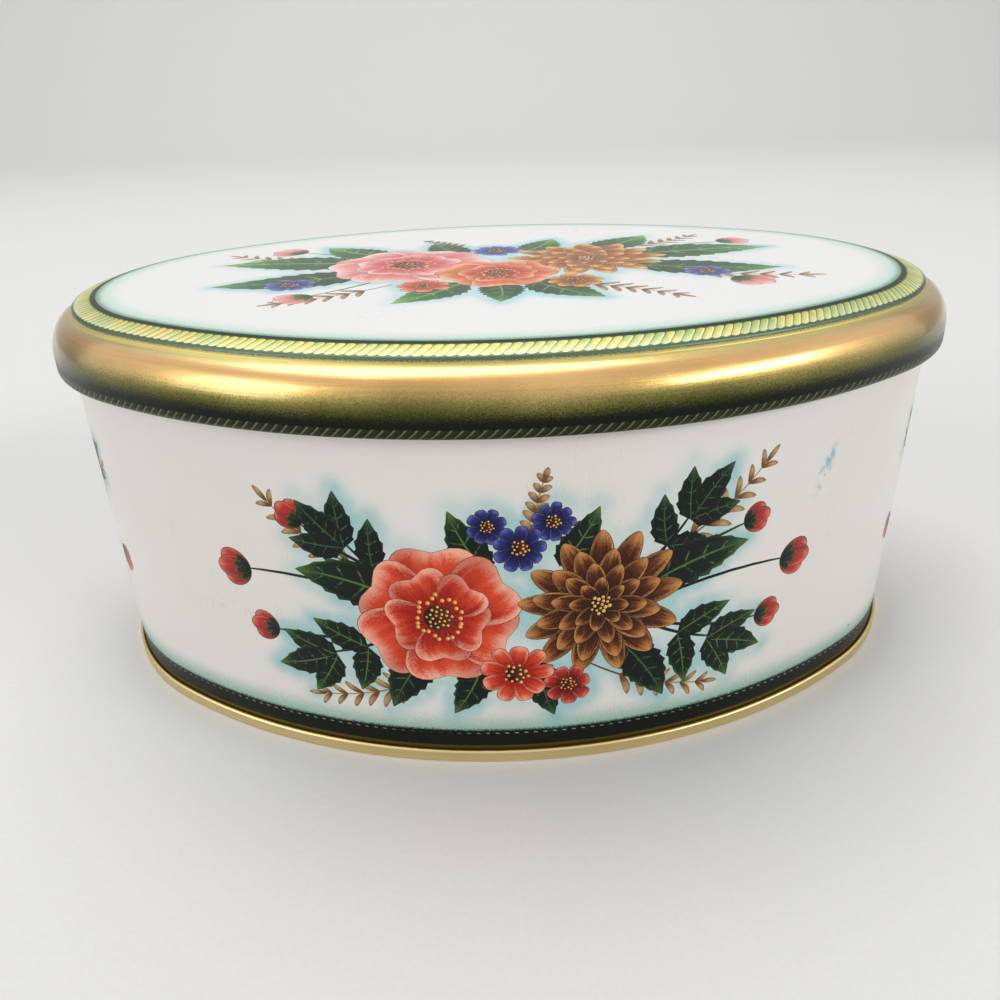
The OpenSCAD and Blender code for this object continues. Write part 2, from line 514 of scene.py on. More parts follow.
smudge_edge = rise(smudge_x * smudge_x + smudge_y * smudge_y + (halo_cloud - 0.5) * 2.2, 0.1, 1.0)
smudge = (1 - smudge_edge) * rise(blank.noise(on_wall, 420.0, 4.0), 0.45, 0.62)
feed(
    wall_shader,
    base_color=laid(
        over(rise(age, 0.3, 0.8), (240, 236, 231), (236, 231, 224)),
        (foot_glow * 0.8, (112, 178, 158)),
        (foot_green, (9, 17, 9)),
        (dash * rise(age, 0.3, 0.55) * 0.85, (158, 172, 146)),
        (olive_line, (92, 78, 32)),
        (halo(blank, stipple, halo_cloud) * 0.72, (116, 194, 196)),
        flower_inks(blank, stipple),
        (joint * 0.8, (96, 92, 84)),
        (speck * 0.8, (74, 62, 60)),
        (scratch * 0.35, (150, 142, 134)),
        (smudge * 0.75, (112, 176, 208)),
    ),
    roughness=0.34 + (age - 0.5) * 0.12,
    metallic=olive_line * 0.7,
    coat_weight=(1 - foot_green) * 0.12,
    coat_roughness=0.12,
    specular_ior_level=0.15,
    normal=age.bump(0.4, 0.6 * mm),
)


def rolled_metal(name, grain, dark, light, gloss, spread):
    """Bare or lacquered sheet metal, clouded in colour and gloss and very slightly uneven."""
    material, tree, shader = new_material(name)
    cloud = tree.noise(tree.place(), grain, 6.0)
    feed(
        shader,
        base_color=over(cloud, dark, light),
        metallic=1.0,
        roughness=gloss + cloud * spread,
        normal=cloud.bump(0.5, 0.4 * mm),
    )
    return material


bare_tin = rolled_metal("bare_tinplate", 60.0, (188, 188, 184), (214, 213, 208), 0.25, 0.25)
thicken(wall, lambda face: face.normal.xy.dot(face.center.xy), wall_print, bare_tin)


class Spray:
    """Shapes of flat ink in millimetres, kept in order from the back of the print to the front."""

    def __init__(self, seed):
        self.hand = random.Random(seed)
        self.strokes = []

    def about(self, value, share=0.07):
        """The value with the small error of a hand."""
        return value * (1 + self.hand.uniform(-share, share))

    def blade(self, root, aim, length, half, inks, form=(0.8, 0.6), bow=0.0, teeth=0, notch=0.0,
              streak=0.55, vein=0.0, edge=0.7, start=0.2, glow=True, count=9):
        """A petal, leaf or stem, widest where the powers in its form put it. Its far ink sets in
        where start says."""
        low, high = form
        peak = (low / (low + high)) ** low * (high / (low + high)) ** high
        cross = half / peak
        count += round(half)
        steps = [((1 - math.cos(math.pi * k / count)) / 2, 1.0) for k in range(count + 1)]
        if teeth:
            steps = [(k / teeth, 0.84) for k in range(teeth)]
            steps = sorted(steps + [((k + 0.75) / teeth, 1.0) for k in range(teeth)] + [(1.0, 1.0)])
        lines = []
        for side in (-1, 1):
            line = []
            for s, keep in steps:
                width = cross * s ** low * (1 - s) ** high
                dent = notch * math.exp(-((width / (0.35 * half)) ** 2)) * s ** 8
                line.append(((s - dent) * length, side * width * keep + 4 * bow * length * s * (1 - s)))
            lines.append(line)
        turn = math.radians(aim)
        ahead = Vector((math.cos(turn), math.sin(turn)))
        left = Vector((-math.sin(turn), math.cos(turn)))
        root = Vector(root)
        self.strokes.append({
            "outline": [root + ahead * x + left * y for x, y in lines[0] + lines[1][-2:0:-1]],
            "root": root,
            "ahead": ahead / length,
            "left": left / cross,
            "glow": glow,
            "ink_near": (*inks[0][:3], 1.0),
            "ink_far": (*inks[1][:3], start),
            "ink_edge": (*inks[2][:3], edge),
            "ink_form": (low, high, 4 * bow * length / cross),
            "ink_grain": (self.hand.random(), streak, vein),
        })

    def follow(self, root, aim, length, bow, s):
        """A place on a bowed stem, and the way the stem heads there."""
        turn = math.radians(aim)
        x, y = s * length, 4 * bow * length * s * (1 - s)
        place = (
            root[0] + x * math.cos(turn) - y * math.sin(turn),
            root[1] + x * math.sin(turn) + y * math.cos(turn),
        )
        return place, aim + math.degrees(math.atan(4 * bow * (1 - 2 * s)))

    def dot(self, centre, radius, inks, count):
        self.blade((centre[0] - radius, centre[1]), 0, 2 * radius, radius, inks, (0.5, 0.5),
                   streak=0.0, edge=0.6, glow=False, count=count)

    def dots(self, centre, count, inner, outer, size):
        """Dots of pollen spread evenly over a ring by the golden angle."""
        golden_angle = 137.508
        for k in range(count):
            reach = math.sqrt(inner ** 2 + (outer ** 2 - inner ** 2) * (k + 0.5) / count)
            place, _ = self.follow(centre, golden_angle * k, reach, 0, 1)
            self.dot(place, self.about(size, 0.25), pollen, 3)

    def petals(self, centre, count, inner, outer, half, inks, turned, form, notch=0.0, **style):
        """A ring of petals, each laid on a slightly larger one that shows as a thin dark line."""
        for k in range(count):
            aim = turned + 360 * k / count + self.hand.uniform(-0.08, 0.08) * 360 / count
            root, _ = self.follow(centre, aim, inner, 0, 1)
            length = self.about(outer - inner)
            width = self.about(half)
            self.blade(root, aim, length + 0.1, width + 0.14, inks[3:] * 3, form, notch=notch, streak=0.0)
            self.blade(root, aim, length, width, inks, form, notch=notch, **style)

    def stem(self, root, aim, length, bow, inks, half=0.38):
        self.blade(root, aim, length, half, inks, (0.12, 0.25), bow, streak=0.2, edge=0.2, glow=False)
        return self.follow(root, aim, length, bow, 0.97)

    def leaf(self, root, aim, length, half, bow, inks, teeth=7):
        self.blade(root, aim, length, half, inks, (0.62, 1.05), bow, teeth,
                   streak=0.4, vein=0.75, edge=0.6, start=0.4)

    def frond(self, root, aim, length, bow, inks):
        """A leaf of five toothed leaflets on one stem."""
        self.stem(root, aim, length * 0.75, bow, inks)
        for s, lean in ((0.42, 52), (0.42, -52), (0.7, 40), (0.7, -40), (0.75, 0)):
            place, heading = self.follow(root, aim, length, bow, s)
            size = length * (0.46 if lean else 0.5)
            self.leaf(place, heading + lean, self.about(size), size * 0.28, 0.03, inks, 5)

    def sprig(self, root, aim, length, bow):
        """A bronze fern sprig: leaflets in pairs on a thin bowed stem."""
        pairs = 6
        half = 0.85
        style = {"streak": 0.7, "glow": False, "count": 6}
        self.stem(root, aim, length, bow, bronze, 0.24)
        for k in range(pairs):
            s = 0.28 + 0.64 * k / (pairs - 1)
            place, heading = self.follow(root, aim, length, bow, s)
            size = length * (0.25 - 0.13 * s)
            for side in (-1, 1):
                self.blade(place, heading + side * self.about(44), self.about(size), half * (1.15 - 0.4 * s),
                           bronze, (0.7, 0.6), side * -0.08, **style)
        place, heading = self.follow(root, aim, length, bow, 0.96)
        self.blade(place, heading, length * 0.15, half * 0.8, bronze, (0.7, 0.6), **style)

    def bud(self, root, aim, length, size, bow, inks, green):
        """A closed flower on its stem, held in green sepals."""
        place, heading = self.stem(root, aim, length, bow, green)
        rim = 0.15
        for lean, share in ((-24, 0.9), (24, 0.9), (0, 1.0)):
            self.blade(place, heading + lean, size * share + rim, size * 0.31 + rim, inks[3:] * 3, (0.6, 0.5),
                       streak=0.0, glow=False)
            self.blade(place, heading + lean, size * share, size * 0.31, inks, (0.6, 0.5), glow=False)
        for lean in (-46, 46, -12, 14):
            self.blade(place, heading + lean, size * 0.55, size * 0.11, green, (0.5, 0.8),
                       glow=False, count=6)

    def daisy(self, centre, radius, inks, count, turned):
        """A small open flower with a dark dotted heart."""
        self.petals(centre, count, radius * 0.12, radius, radius * 2.2 / count, inks, turned, (0.75, 0.35),
                    streak=0.6, edge=0.75, start=0.3)
        self.dot(centre, radius * 0.3, heartwood, 6)
        self.dots(centre, 15, radius * 0.1, radius * 0.36, radius * 0.045)

    def wild_rose(self, centre, radius, inks, turned):
        """Two rings of broad petals, a ring of stamens and a dotted heart."""
        broad = (0.72, 0.3)
        stamens = 24
        self.petals(centre, 6, radius * 0.06, radius, radius * 0.52, inks, turned, broad, 0.09,
                    streak=0.7, edge=0.95, start=0.3)
        self.petals(centre, 5, radius * 0.05, radius * 0.66, radius * 0.36, inks, turned + 28, broad, 0.12,
                    streak=0.7, edge=0.9, start=0.4)
        for k in range(stamens):
            aim = 360 * k / stamens + self.hand.uniform(-5, 5)
            reach = radius * self.hand.uniform(0.24, 0.36)
            place, _ = self.follow(centre, aim, reach, 0, 1)
            self.blade(centre, aim, reach, radius * 0.014, inks[3:] * 3, (0.2, 0.2), streak=0.0, count=3)
            self.dot(place, radius * 0.028, pollen, 3)
        self.dot(centre, radius * 0.19, heartwood, 7)
        self.dots(centre, 22, 0, radius * 0.17, radius * 0.018)

    def dahlia(self, centre, radius, inks, turned):
        """Rings of pointed petals over a dark ground."""
        self.dot(centre, radius * 0.55, inks[3:] * 3, 8)
        rings = ((1.0, 13, 0.2, 0.155), (0.78, 12, 0.14, 0.14), (0.57, 10, 0.08, 0.12), (0.36, 8, 0.03, 0.09))
        for k, (outer, count, inner, half) in enumerate(rings):
            self.petals(centre, count, inner * radius, outer * radius, half * radius, inks, turned + 11 * k,
                        (0.62, 0.6), streak=0.7, edge=0.85, start=0.5)
        self.dot(centre, radius * 0.13, inks[3:] * 3, 7)
        self.dots(centre, 17, 0, radius * 0.13, radius * 0.022)

    def stamped(self, x, y, flip=False):
        """The spray's strokes at a place on the blank, mirrored or not."""
        hand = Matrix(((-1 if flip else 1, 0), (0, 1)))
        place = Vector((x, y))
        moved = []
        for stroke in self.strokes:
            outline = [hand @ point + place for point in stroke["outline"]]
            moved.append(dict(
                stroke,
                outline=outline[::-1] if flip else outline,
                root=hand @ stroke["root"] + place,
                ahead=hand @ stroke["ahead"],
                left=hand @ stroke["left"],
            ))
        return moved


def shades(*colours):
    """Near, far and edge inks of a stroke, and a flower's dark line."""
    return [printed(*colour) for colour in colours]


dark_red = (120, 20, 16)
dark_brown = (34, 13, 4)
dark_blue = (10, 10, 40)
coral = shades((168, 24, 12), (230, 78, 44), (250, 190, 162), dark_red)
amber = shades((54, 20, 6), (140, 70, 22), (216, 152, 84), dark_brown)
rose_red = shades((104, 14, 18), (190, 50, 44), (240, 140, 116), dark_red)
blue = shades((14, 14, 60), (44, 46, 120), (112, 118, 186), dark_blue)
leaf_dark = shades((4, 20, 12), (10, 42, 22), (104, 138, 66))
leaf_deep = shades((4, 16, 12), (8, 32, 24), (76, 112, 66))
bronze = shades((112, 74, 36), (196, 160, 112), (112, 74, 36))
heartwood = shades((46, 14, 8), (92, 34, 18), (120, 56, 30))
pollen = shades((214, 150, 60), (246, 206, 110), (255, 236, 180))

# The spray on the front, from its middle: sprigs, buds, fronds and leaves, then the flowers
front = Spray(11)
for sprig in (
    ((-26, 8), 147, 30, 0.07), ((27, 10), 36, 31, -0.06), ((14, -13), -22, 30, -0.06),
    ((-16, -14), 198, 30, 0.06), ((3, 14), 82, 17, 0.05),
):
    front.sprig(*sprig)
for bud in (
    ((-22, 2), 173, 37, 8.5, -0.06), ((-24, -4), 187, 30, 7.0, 0.05), ((-22, 8), 152, 25, 6.5, 0.05),
    ((26, 0), 5, 34, 8.5, 0.06), ((26, -4), -12, 29, 7.0, -0.05), ((26, 6), 21, 24, 6.5, 0.04),
):
    front.bud(*bud, rose_red, leaf_dark)
for frond in (
    ((-20, 4), 140, 26, 0.05, leaf_deep), ((-22, -3), 204, 28, 0.05, leaf_dark),
    ((22, 6), 46, 25, -0.05, leaf_deep), ((24, -3), -26, 28, -0.05, leaf_dark),
):
    front.frond(*frond)
for leaf in (
    ((-25, 4), 168, 22, 5.8, -0.05, leaf_dark), ((-19, -9), 240, 18, 5.0, -0.04, leaf_deep),
    ((28, 5), 14, 22, 5.6, 0.05, leaf_dark), ((22, -10), -58, 18, 5.0, 0.04, leaf_deep),
    ((-8, -12), 244, 15, 4.2, 0.05, leaf_dark), ((4, -12), -78, 15, 4.2, -0.05, leaf_deep),
    ((-6, 10), 118, 16, 4.2, 0.05, leaf_dark), ((8, 11), 58, 15, 4.0, -0.05, leaf_dark),
):
    front.leaf(*leaf)
front.daisy((-6.0, 20.5), 4.0, blue, 8, 18)
front.daisy((6.8, 21.0), 4.3, blue, 9, 40)
front.daisy((0.3, 15.5), 5.2, blue, 9, 5)
front.wild_rose((-16.5, -0.5), 16.5, coral, 96)
front.dahlia((16.5, 1.0), 17.5, amber, 7)
front.daisy((10.0, -18.5), 5.0, rose_red, 7, 12)
front.daisy((-1.0, -15.0), 7.6, coral, 9, 4)

# The smaller posy that stands at the ends and twice at the back
posy = Spray(23)
for sprig in (((-10, 8), 142, 26, 0.07), ((12, 6), 30, 26, -0.06), ((6, -8), -34, 22, 0.05)):
    posy.sprig(*sprig)
for bud in (((-12, 0), 176, 19, 7.0, -0.05), ((14, -2), -8, 19, 7.0, 0.05)):
    posy.bud(*bud, rose_red, leaf_dark)
for frond in (((-10, -2), 206, 26, 0.05, leaf_dark), ((10, 4), 40, 26, 0.05, leaf_deep)):
    posy.frond(*frond)
for leaf in (
    ((-12, 6), 150, 18, 5.0, -0.05, leaf_dark), ((13, -5), -26, 18, 5.0, -0.05, leaf_dark),
    ((0, 8), 94, 16, 4.4, 0.05, leaf_dark), ((0, -8), 266, 15, 4.2, -0.05, leaf_deep),
):
    posy.leaf(*leaf)
posy.daisy((-4.5, 14.5), 4.4, blue, 8, 18)
posy.dahlia((10.0, 2.5), 11.5, amber, 4)
posy.wild_rose((-8.5, -0.5), 12.5, coral, 84)
posy.daisy((4.5, -11.0), 5.6, rose_red, 7, 10)

print_level = 38.5
wall_strokes = front.stamped(0, print_level)
for share, flip in ((-0.5, False), (0.5, True), (-0.8, True), (0.8, False)):
    wall_strokes += posy.stamped(share * half_way, print_level, flip)


def cut_away(piece, chosen):
    """Removes the chosen faces, which the cut print then replaces."""
    edit_chosen(piece, "FACE", lambda face: face.index in chosen)
    bpy.ops.mesh.delete(type="FACE")
    end_edit()


def lay_print(piece, strokes, outline, lines, place, read_map, ink):
    """Cuts a flat sheet along the outlines of the strokes, lays it on the piece and joins it there.
    A face takes the inks of the topmost stroke over it, and bare points carry the halo's strength."""
    halo_step = 1.7
    halo_from = 0.8
    halo_from_on_line = 0.3
    halo_to = 8
    halo_reach = 3.0
    points = [Vector(point) for point in outline]
    faces = [list(range(len(points)))]
    for stroke in strokes:
        faces.append(list(range(len(points), len(points) + len(stroke["outline"]))))
        points.extend(stroke["outline"])
    edges = []
    for line in lines:
        edges.append((len(points), len(points) + 1))
        points.extend(Vector(point) for point in line)

    lit = [point for stroke in strokes if stroke["glow"] for point in stroke["outline"]]
    near_ink = KDTree(len(lit))
    for k, point in enumerate(lit):
        near_ink.insert((*point, 0), k)
    near_ink.balance()

    def off_ink(point):
        return near_ink.find((*point, 0))[2]

    def add_bare(x, y, least):
        if least < off_ink((x, y)) < halo_to:
            points.append(Vector((x, y)))

    wide, tall = zip(*points[:len(outline)])
    for row in range(1, int((max(tall) - min(tall)) / halo_step)):
        for column in range(1, int((max(wide) - min(wide)) / halo_step)):
            add_bare(min(wide) + (column + row % 2 / 2) * halo_step, min(tall) + row * halo_step, halo_from)
    for (x, low), (_, high) in lines:
        for row in range(1, int((high - low) / halo_step)):
            add_bare(x, low + row * halo_step, halo_from_on_line)
    inside_outline = 1
    same_point = 1e-4
    spots, _, shapes, _, _, covers = delaunay_2d_cdt(points, edges, faces, inside_outline, same_point)

    mesh = bpy.data.meshes.new(piece.name + "_print")
    mesh.from_pydata([place(*spot) for spot in spots], [], shapes)
    mesh.materials.append(ink)
    bare = {name: [0.0] * 4 for name in ("ink_near", "ink_far", "ink_edge")}
    bare.update(ink_form=(1.0, 1.0, 0.0), ink_grain=(1.0, 1.0, 0.0))
    inked = [strokes[max(cover) - 1] if max(cover, default=0) else bare for cover in covers]
    for name, value in bare.items():
        kind, key = ("FLOAT_COLOR", "color") if len(value) == 4 else ("FLOAT_VECTOR", "vector")
        values = [part for stroke in inked for part in stroke[name]]
        mesh.attributes.new(name, kind, "FACE").data.foreach_set(key, values)
        no_ink = [0.0] * len(value) * len(piece.data.polygons)
        piece.data.attributes.new(name, kind, "FACE").data.foreach_set(key, no_ink)
    glows = [math.exp(-((off_ink(spot) / halo_reach) ** 2)) for spot in spots]
    mesh.attributes.new("ink_glow", "FLOAT", "POINT").data.foreach_set("value", glows)
    stroke_values = []
    map_values = []
    for stroke, shape in zip(inked, shapes):
        for k in shape:
            map_values.extend(read_map(*spots[k]))
            if stroke is bare:
                stroke_values.extend((0.5, 0.0))
                continue
            step = spots[k] - stroke["root"]
            stroke_values.extend((step.dot(stroke["ahead"]), step.dot(stroke["left"])))
    mesh.uv_layers.new(name="print_map").data.foreach_set("uv", map_values)
    mesh.uv_layers.new(name="stroke").data.foreach_set("uv", stroke_values)
    mesh.polygons.foreach_set("use_smooth", [True] * len(shapes))

    cut_print = bpy.data.objects.new(mesh.name, mesh)
    bpy.context.collection.objects.link(cut_print)
    bpy.ops.object.select_all(action="DESELECT")
    cut_print.select_set(True)
    piece.select_set(True)
    bpy.context.view_layer.objects.active = piece
    bpy.ops.object.join()
    edit()
    bpy.ops.mesh.remove_doubles(threshold=same_point * mm)
    end_edit()


# The wall's upright run is taken off as columns of two corners, by their way round in millimetres.
least_run_face = 100 * mm * mm
most_lean = 0.02
close_by = 0.01
wall_faces = {
    face.index for face in wall.data.polygons
    if face.material_index == 0 and abs(face.normal.z) < most_lean and face.area > least_run_face
}
corners = []
for vertex in {vertex for index in wall_faces for vertex in wall.data.polygons[index].vertices}:
    corner = wall.data.vertices[vertex].co.copy()
    way = way_round(corner.x, corner.y) / mm
    ends = [way] if half_way - abs(way) > close_by else [-half_way, half_way]
    corners.extend((end, corner) for end in ends)
corners.sort(key=lambda pair: pair[0])
column_ways = [way for way, _ in corners[::2]]
column_feet, column_tops = zip(*[
    sorted((one, two), key=lambda corner: corner.z) for (_, one), (_, two) in zip(corners[::2], corners[1::2])
])
run_low = column_feet[0].z / mm
run_high = column_tops[0].z / mm
cut_away(wall, wall_faces)

joint_line = 0.4
joint_depth = 0.15 * mm
seam_strip_low = 7.8
seam_strip_high = 83.2


def place_on_wall(way, height):
    """A place of the flat print on the rolled wall, with the joint pressed in along the seam."""
    k = min(max(bisect.bisect_right(column_ways, way) - 1, 0), len(column_ways) - 2)
    share = (way - column_ways[k]) / (column_ways[k + 1] - column_ways[k])
    level = (height - run_low) / (run_high - run_low)
    foot = column_feet[k].lerp(column_feet[k + 1], share)
    place = foot.lerp(column_tops[k].lerp(column_tops[k + 1], share), level)
    on_joint = half_way - abs(way) < joint_line / 10
    if on_joint and seam_strip_low - close_by < height < seam_strip_high + close_by:
        place.y -= joint_depth
    return place


def upright(way, low, high):
    return (way, low), (way, high)


wall_lines = [upright(way, run_low, run_high) for way in column_ways]
for way in (joint_line / 2 - half_way, half_way - joint_line / 2):
    wall_lines.append(upright(way, seam_strip_low - joint_line, seam_strip_high + joint_line))
for way in (-half_way, half_way):
    wall_lines.append(upright(way, seam_strip_low, seam_strip_high))
wall_outline = [(-half_way, run_low), (half_way, run_low), (half_way, run_high), (-half_way, run_high)]
lay_print(
    wall, wall_strokes, wall_outline, wall_lines, place_on_wall, lambda way, height: (way, height), wall_print
)


def smooth_print(piece, on_print, looks):
    """Gives the printed faces the normals of the smooth sheet, in place of their own."""
    normals = [corner.vector.copy() for corner in piece.data.corner_normals]
    for face in piece.data.polygons:
        if on_print(face):
            for loop in face.loop_indices:
                normals[loop] = looks(piece.data.vertices[piece.data.loops[loop].vertex_index].co)
    piece.data.normals_split_custom_set(normals)


def oval_normal(corner):
    """The way that the rolled wall looks at a place on it."""
    ahead = math.copysign(1, corner.y)
    if math.atan2(abs(corner.x), abs(corner.y) + side_centre) < side_turn:
        return Vector((corner.x, corner.y + ahead * side_centre, 0)).normalized()
    return Vector((corner.x - math.copysign(end_centre, corner.x), corner.y, 0)).normalized()


def flat_corners(piece, face):
    """The corners of a face on the flat sheet, in millimetres along the wall and along the sheet."""
    flat = piece.data.uv_layers["print_map"].data
    return [tuple(flat[loop].uv) for loop in face.loop_indices]


def middle(corners):
    return [sum(corner[axis] for corner in corners) / len(corners) for axis in (0, 1)]


def on_wall_run(face):
    """True on the upright run, clear of the joint."""
    way, run = middle(flat_corners(wall, face))
    return face.material_index == 0 and run_low < run < run_high and abs(way) < half_way - joint_line / 2


smooth_print(wall, on_wall_run, oval_normal)


def lay_bake_map(piece, choose):
    """Lays the piece out flat on a square for baking, with most of it for the print. For each face
    choose gives the corners on their patch, the patch's edges, and where it lies on the square."""
    square_px = 1024
    places = []
    for face in piece.data.polygons:
        corners, (left, low, right, high), (u_from, v_from, u_to, v_to) = choose(face)
        for x, y in corners:
            places.append((u_from + (x - left) / (right - left) * (u_to - u_from)) / square_px)
            places.append((v_from + (y - low) / (high - low) * (v_to - v_from)) / square_px)
    piece.data.uv_layers["OFBake"].data.foreach_set("uv", places)


def cut_edge(corners):
    """The corners of a face on the sheet's cut edge, across which the print map has no width."""
    first, second, third = [way for way, _ in corners[:3]]
    lifts = (0, 1, 1, 0) if abs(first - second) < abs(second - third) else (0, 0, 1, 1)
    return [(way, lift) for (way, _), lift in zip(corners, lifts)]


# Where the wall's parts lie on the square, in its pixels: left, low, right and high
wall_layout = {
    "front": (4, 4, 848, 480), "left": (4, 486, 652, 748), "right": (4, 754, 652, 1016),
    "inside": (660, 486, 1018, 682), "rim_inside": (660, 688, 1018, 738), "rim": (660, 744, 1018, 794),
    "hook_inside": (660, 800, 1018, 850), "hook": (660, 856, 1018, 906),
    "hook_edge": (660, 950, 1018, 960), "rim_edge": (660, 966, 1018, 976),
}
front_least = 72
back_overlap = 6
bend_room = 7.0
no_width = 0.001
front_half = min(way for way in column_ways if way > front_least)
back_end = half_way + back_overlap


def side_part(way, inside, front_end, right_end):
    """The part of a layout by the way round, with its left and right ends there."""
    if inside:
        return "inside", -half_way, back_end
    if abs(way) < front_end:
        return "front", -front_end, front_end
    return ("left", -half_way, -front_end) if way < 0 else ("right", front_end, right_end)


def wall_patch(face):
    """The part of the wall's layout that a face lies on."""
    corners = flat_corners(wall, face)
    way, run = middle(corners)
    inside = face.material_index == 1
    suffix = "_inside" if inside else ""
    runs = [corner[1] for corner in corners]
    if inside and max(runs) - min(runs) < no_width:
        name = "hook_edge" if run < run_low else "rim_edge"
        return cut_edge(corners), (-half_way, 0, back_end, 1), wall_layout[name]
    if run > run_high:
        return corners, (-half_way, run_high, back_end, run_high + bend_room), wall_layout["rim" + suffix]
    if run < run_low:
        return corners, (-half_way, run_low - bend_room, back_end, run_low), wall_layout["hook" + suffix]
    name, left, right = side_part(way, inside, front_half, half_way)
    return corners, (left, run_low, right, run_high), wall_layout[name]


lay_bake_map(wall, wall_patch)
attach(wall, "box")
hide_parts("body_wall")

# Side seam: the wall's two ends folded into each other and pressed flat, a strip of tinplate
# layers on the inside of the back.
seam_width = 5 * mm
seam_layers = 3
seam_thick = (seam_layers - 1) * sheet + seam_play
seam_tall = (seam_strip_high - seam_strip_low) * mm
seam_middle = (seam_strip_low + seam_strip_high) / 2 * mm
bpy.ops.object.select_all(action="DESELECT")
bpy.ops.mesh.primitive_cube_add(size=1, location=(0, 0, 0))
side_seam = bpy.context.object
side_seam.name = "side_seam"
side_seam.data.name = "side_seam"
edit()
bpy.ops.transform.resize(value=(seam_width, seam_thick, seam_tall))
bpy.ops.transform.translate(value=(0, half_width - sheet - seam_thick / 2 + seam_play, seam_middle))
end_edit()
fold = side_seam.modifiers.new("pressed_fold", "BEVEL")
fold.width = sheet
fold.segments = 4
fold.limit_method = "ANGLE"
bpy.ops.object.modifier_apply(modifier=fold.name)
bpy.ops.object.shade_smooth_by_angle(angle=smooth_angle)
side_seam.data.materials.append(bare_tin)
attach(side_seam, "box")

# Base: one gold-lacquered oval stamping. The border of its panel is recessed, the middle is
# stepped up for stiffness, and the edge is folded round the wall's hook as a double seam.
foot_bend = 0.4 * mm
base_recess = 4 * mm
base_border = 10 * mm
base_rise = 0.8 * mm
base_bend = 0.8 * mm
step_bend = 1.2 * mm
panel_lap = 4 * mm
chuck_mid = wall_mid - layer
seam_mid = wall_mid + 3 * layer
border_mid = base_recess + sheet / 2
step_turn = math.degrees(math.acos(1 - base_rise / (2 * step_bend)))
step_reach = 2 * step_bend * math.sin(math.radians(step_turn))
base = draw_section(
    "seamed_base",
    (chuck_mid - base_bend - base_border - step_reach - panel_lap, border_mid + base_rise),
    0,
    [
        [panel_lap, 0, 0],
        [0, step_bend, -step_turn],
        [0, step_bend, step_turn],
        [base_border, 0, 0],
        [0, base_bend, -90],
        [border_mid - base_bend - sheet / 2 - foot_bend, 0, 0],
        [0, foot_bend, 90],
        [seam_mid - chuck_mid - 2 * foot_bend, 0, 0],
        [0, foot_bend, 90],
        [hook_high - sheet / 2 - foot_bend, 0, 0],
        [0, hook_bend, 180],
        [hook_high - hook_low - 2 * seam_play, 0, 0],
    ],
)
carry_round()
close_panel(base, 0, panel_lap)
lay_print_map(base, 0)
base.data.uv_layers.remove(base.data.uv_layers["OFBake"])
gilt = rolled_metal("gold_lacquer", 45.0, (214, 190, 130), (232, 212, 160), 0.24, 0.2)
thicken(base, lambda face: -face.normal.z, gilt, bare_tin)
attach(base, "box")
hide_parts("base")

# Lid: one drawn stamping, printed white on the flat panel, with a rope border on the slope,
# a gilt round shoulder and a second rope on the rolled lower edge that slides over the wall.
lid_play = 0.5 * mm
lid_roll = 2.8 * mm
lid_turn = 290
top_ease = 0.006 * mm
skirt_run = 3 * mm - top_ease
skirt_lean = 1.5
shoulder_low = 10 * mm
shoulder_high = 6.5 * mm
shoulder_join = 30
shoulder_end = 75
riser_run = 0.55 * mm
riser_lean = 8
groove_bend = 0.55 * mm
edge_bend = 0.7 * mm
border_run = 4 * mm
border_slope = 16
panel_bend = 5 * mm
lid_lap = 8 * mm
roll_bend = (lid_roll - sheet) / 2
skirt_heading = 90 + skirt_lean
roll_heading = math.radians(skirt_heading - lid_turn)
roll_middle = lid_play + lid_roll / 2
roll_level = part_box("lid")[0][2] + lid_roll / 2
lid_steps = [
    [0, roll_bend, lid_turn],
    [skirt_run, 0, 0],
    [0, shoulder_low, shoulder_join - skirt_lean],
    [0, shoulder_high, shoulder_end - shoulder_join],
    [0, groove_bend, riser_lean - shoulder_end],
    [riser_run, 0, 0],
    [0, edge_bend, 90 - border_slope - riser_lean],
    [border_run, 0, 0],
    [0, panel_bend, border_slope],
    [lid_lap, 0, 0],
]
lid = draw_section(
    "printed_lid",
    (roll_middle + roll_bend * math.sin(roll_heading), roll_level - roll_bend * math.cos(roll_heading)),
    skirt_heading - lid_turn,
    lid_steps,
)
lid_runs = [0.0]
for run, bend, turn in lid_steps:
    lid_runs.append(lid_runs[-1] + run + bend * math.radians(abs(turn)))
carry_round()
close_panel(lid, lid_runs[-1], sheet)
lay_print_map(lid, 0)


def rope(way, run, low, high, pitch, lean):
    """Mask of a printed rope's strands, the turn from strand to strand, and the way across it."""
    count = round(2 * half_way / pitch)
    across = (run - low) / (high - low)
    swing = (across * (2 * math.pi)).sine() * 0.05
    turn = (way * (count / (2 * half_way)) + across * lean + swing).fraction()
    off_middle = (turn - 0.5).size() * 2
    off_centre = (across - 0.5).size() * 2
    parting = rise(off_middle - (1 - across) * 0.1, 0.78, 0.94)
    strand = (1 - parting) * (1 - rise(off_centre + off_middle * off_middle * 0.22, 0.92, 1.0))
    return strand, turn, across


# Every print on the lid is placed by its run in millimetres, from the cut edge over the roll, the
# skirt, the low and high shoulder, the groove, the riser, the edge and the border to the panel.
lid_ink, lid_tree, lid_shader = new_material("printed_lid_ink")
lid_way, lid_run = lid_tree.uv("print_map")
on_lid = lid_tree.place()
_, skirt_from, _, low_to, shoulder_to, groove_to, _, edge_to, border_to, panel_from, _ = [
    run / mm for run in lid_runs
]
lid_cloud = lid_tree.noise(on_lid, 35.0, 6.0)
lid_grain = lid_tree.noise(on_lid, 2200.0, 2.0)
fine_grain = lid_tree.noise(on_lid, 3600.0, 1.0)
brushed = lid_tree.noise(lid_tree.vector(lid_way * 0.012, lid_run * 1.6, 0.5), 1.0, 5.0)

